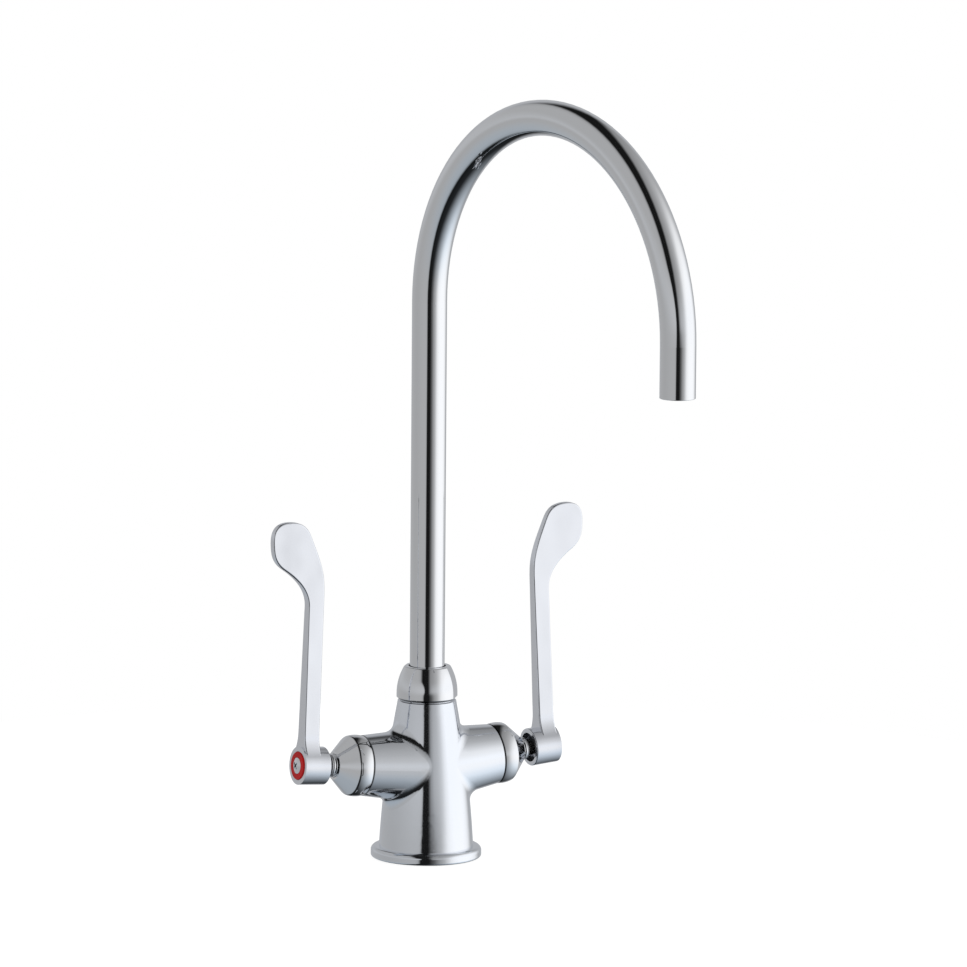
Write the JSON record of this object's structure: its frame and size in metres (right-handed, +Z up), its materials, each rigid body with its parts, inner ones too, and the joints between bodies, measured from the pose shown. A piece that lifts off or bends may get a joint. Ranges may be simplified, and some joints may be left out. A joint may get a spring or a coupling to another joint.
{
  "type": "gooseneck faucet",
  "caption": "Deck-mounted gooseneck mixer faucet with a swivelling arched tube spout and two upright wrist-blade levers on side arms.",
  "frame": {"origin": "middle of the underside of the base flange, on the deck", "axes": "+Z up along the riser; the user stands at -Y; hot valve at -X, cold valve at +X; the spout rests swung 8.8 degrees from -Y towards the cold side"},
  "size_m": [0.2214, 0.2974, 0.4951],
  "materials": {
    "chrome": "polished chrome plate on brass",
    "stem_nickel": "dull nickel plate on brass",
    "brass": "machined brass",
    "seal_rubber": "black nitrile rubber",
    "washer_plastic": "white slippery plastic",
    "ceramic": "polished white ceramic",
    "clip_steel": "spring steel",
    "index_red": "red moulded plastic",
    "index_blue": "blue moulded plastic"
  },
  "bodies": {
    "faucet_body": {"body": "chrome", "base_gasket": "seal_rubber", "lower_swivel_washer": "washer_plastic", "upper_swivel_washer": "washer_plastic", "spout_nut": "chrome", "hot_bonnet": "chrome", "hot_cartridge": "chrome", "hot_cartridge_seal": "seal_rubber", "hot_seat_seal": "seal_rubber", "hot_fixed_disc": "ceramic", "cold_bonnet": "chrome", "cold_cartridge": "chrome", "cold_cartridge_seal": "seal_rubber", "cold_seat_seal": "seal_rubber", "cold_fixed_disc": "ceramic"},
    "spout": {"spout_tube": "chrome", "spout_sleeve": "brass", "lower_spout_ring": "seal_rubber", "upper_spout_ring": "seal_rubber"},
    "hot_handle": {"hot_lever": "chrome", "hot_index_ring": "index_red", "hot_lever_screw": "chrome", "hot_stem": "stem_nickel", "hot_stem_rings": "seal_rubber", "hot_stem_clip": "clip_steel", "hot_moving_disc": "ceramic"},
    "cold_handle": {"cold_lever": "chrome", "cold_index_ring": "index_blue", "cold_lever_screw": "chrome", "cold_stem": "stem_nickel", "cold_stem_rings": "seal_rubber", "cold_stem_clip": "clip_steel", "cold_moving_disc": "ceramic"}
  },
  "joints": [
    {"name": "spout_swivel", "type": "hinge", "parent": "faucet_body", "child": "spout", "pos_m": [0, 0, 0.095], "axis": [0, 0, 1], "continuous": true},
    {"name": "hot_lever_turn", "type": "hinge", "parent": "faucet_body", "child": "hot_handle", "pos_m": [0, 0, 0.0585], "axis": [0.9969, 0, -0.0785], "range_deg": [0, 90]},
    {"name": "cold_lever_turn", "type": "hinge", "parent": "faucet_body", "child": "cold_handle", "pos_m": [0, 0, 0.0585], "axis": [0.9969, 0, 0.0785], "range_deg": [0, 90]}
  ]
}
